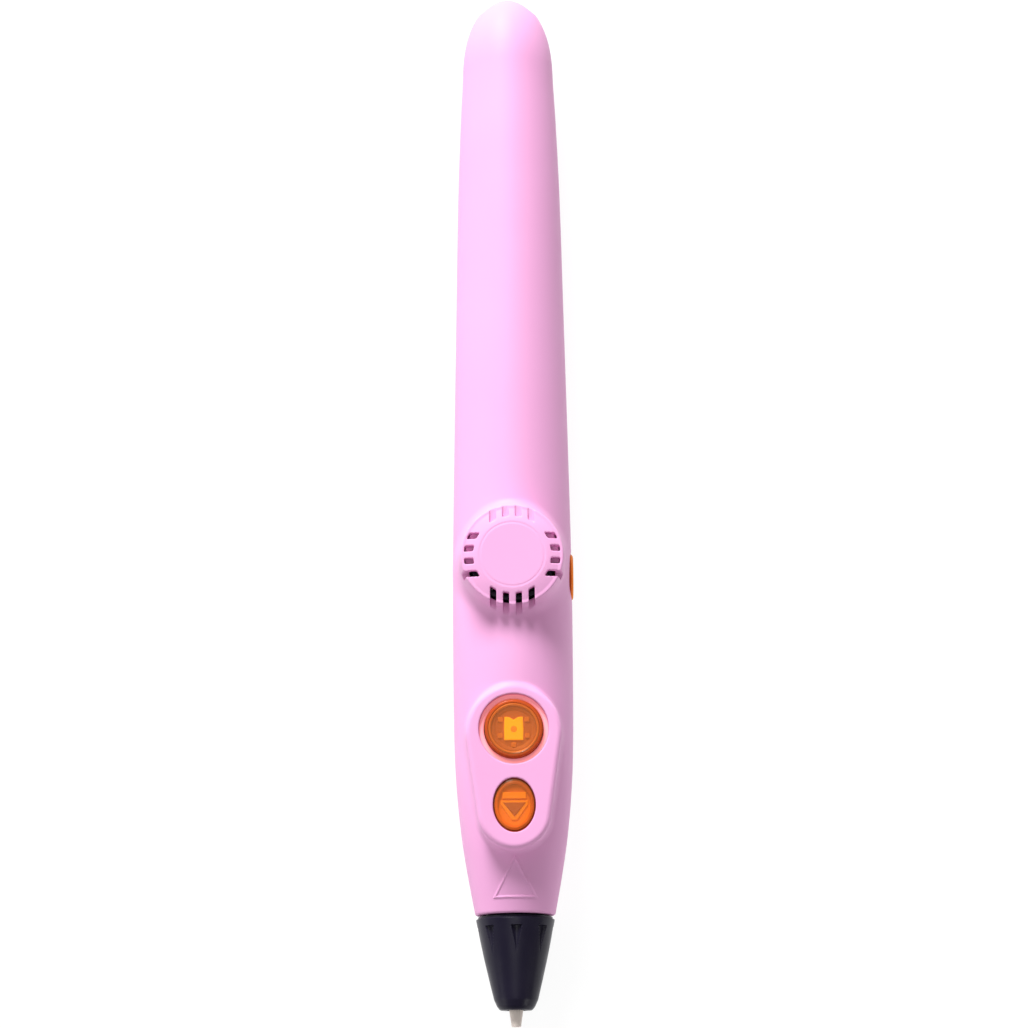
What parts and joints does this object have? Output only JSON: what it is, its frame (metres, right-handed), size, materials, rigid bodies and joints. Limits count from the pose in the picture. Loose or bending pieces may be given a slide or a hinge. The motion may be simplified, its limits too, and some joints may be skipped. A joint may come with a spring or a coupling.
{
  "type": "three d pen",
  "caption": "Slim hand-held 3-D printing pen with a fluted nozzle cover, two thumb buttons on a raised island, a side button and a round fan vent.",
  "frame": {"origin": "middle of the flat strip along the pen's back, half way along its length", "axes": "+Y towards the tail, -Y towards the nozzle, +Z out of the front where the buttons are, +X the right side seen from the front with the nozzle down"},
  "size_m": [0.0205, 0.1802, 0.0258],
  "materials": {
    "pink_shell": "soft satin moulded plastic",
    "orange_cap": "translucent glossy",
    "charcoal": "satin",
    "ceramic": "unglazed",
    "steel": "satin",
    "brass": "satin",
    "white_plastic": "satin",
    "board": "solder mask",
    "chip": "matt",
    "led": "clear",
    "cell_wrap": "shrink wrap",
    "ptfe": "waxy",
    "lead_red": "satin",
    "lead_black": "satin",
    "lead_white": "satin"
  },
  "bodies": {
    "case": {"front_shell": "pink_shell", "rear_shell": "pink_shell", "fan_cover": "pink_shell", "case_screw_1": "steel", "case_screw_2": "steel", "case_screw_3": "steel", "case_screw_4": "steel", "inlet_ferrule": "steel", "main_board": "board", "feed_switch": "white_plastic", "retract_switch": "white_plastic", "control_chip": "chip", "status_led": "led", "side_board": "board", "side_switch": "chip", "charge_board": "board", "charge_chip": "chip", "usb_socket": "steel", "battery_cell": "cell_wrap", "battery_cradle": "white_plastic", "gearbox": "brass", "motor_can": "steel", "shaft_bush": "brass", "feed_frame": "white_plastic", "lever_pin": "steel", "idler_spring": "steel", "guide_tube": "ptfe", "power_lead_red": "lead_red", "power_lead_black": "lead_black", "motor_lead_red": "lead_red", "motor_lead_black": "lead_black", "heater_lead_a": "lead_white", "heater_lead_b": "lead_white", "nozzle_tip": "ceramic", "heater_core": "ceramic", "heater_sleeve": "white_plastic", "thermistor": "led", "nozzle_collar": "charcoal", "throat_tube": "steel", "fan_frame": "charcoal", "fan_axle": "steel"},
    "feed_key": {"feed_button": "orange_cap", "feed_switch_plunger": "brass"},
    "retract_key": {"retract_button": "orange_cap", "retract_switch_plunger": "brass"},
    "side_key": {"side_button": "orange_cap", "side_switch_plunger": "brass"},
    "cover": {"nozzle_shroud": "charcoal"},
    "motor_output": {"motor_shaft": "steel", "drive_pinion": "brass"},
    "feed_drive": {"feed_axle": "steel", "feed_wheel": "steel", "driven_gear": "brass"},
    "idler_arm": {"idler_lever": "charcoal", "idler_pin": "steel"},
    "idler_roller": {"idler_bearing": "steel"},
    "fan": {"fan_rotor": "charcoal"}
  },
  "joints": [
    {"name": "feed_press", "type": "slide", "parent": "case", "child": "feed_key", "axis": [0, 0, -1], "range_m": [0, 0.0003], "stiffness_N_per_m": 500, "springref_m": -0.001},
    {"name": "retract_press", "type": "slide", "parent": "case", "child": "retract_key", "axis": [0, 0, -1], "range_m": [0, 0.0003], "stiffness_N_per_m": 500, "springref_m": -0.001},
    {"name": "side_press", "type": "slide", "parent": "case", "child": "side_key", "axis": [-1, 0, 0], "range_m": [0, 0.0003], "stiffness_N_per_m": 500, "springref_m": -0.001},
    {"name": "cover_twist", "type": "hinge", "parent": "case", "child": "cover", "pos_m": [0, -0.08, 0.008], "axis": [0, 1, 0], "range_deg": [0, 30]},
    {"name": "feed_drive_spin", "type": "hinge", "parent": "case", "child": "feed_drive", "pos_m": [-0.00295, -0.052, 0.008], "axis": [0, 0, 1], "continuous": true},
    {"name": "motor_spin", "type": "hinge", "parent": "case", "child": "motor_output", "pos_m": [-0.00295, -0.04, 0.0119], "axis": [0, 1, 0], "continuous": true},
    {"name": "idler_swing", "type": "hinge", "parent": "case", "child": "idler_arm", "pos_m": [0.0046, -0.044, 0.0079], "axis": [0, 0, 1], "range_deg": [0, 6], "stiffness_Nm_per_rad": 0.05, "springref_deg": -11.46},
    {"name": "idler_spin", "type": "hinge", "parent": "idler_arm", "child": "idler_roller", "pos_m": [0.0032, -0.052, 0.0079], "axis": [0, 0, 1], "continuous": true},
    {"name": "fan_spin", "type": "hinge", "parent": "case", "child": "fan", "pos_m": [0, -0.014, 0.021], "axis": [0, 0, 1], "continuous": true}
  ],
  "couplings": [
    {"joint": "motor_spin", "follows": "feed_drive_spin", "ratio": 1},
    {"joint": "idler_spin", "follows": "feed_drive_spin", "ratio": -0.86}
  ]
}
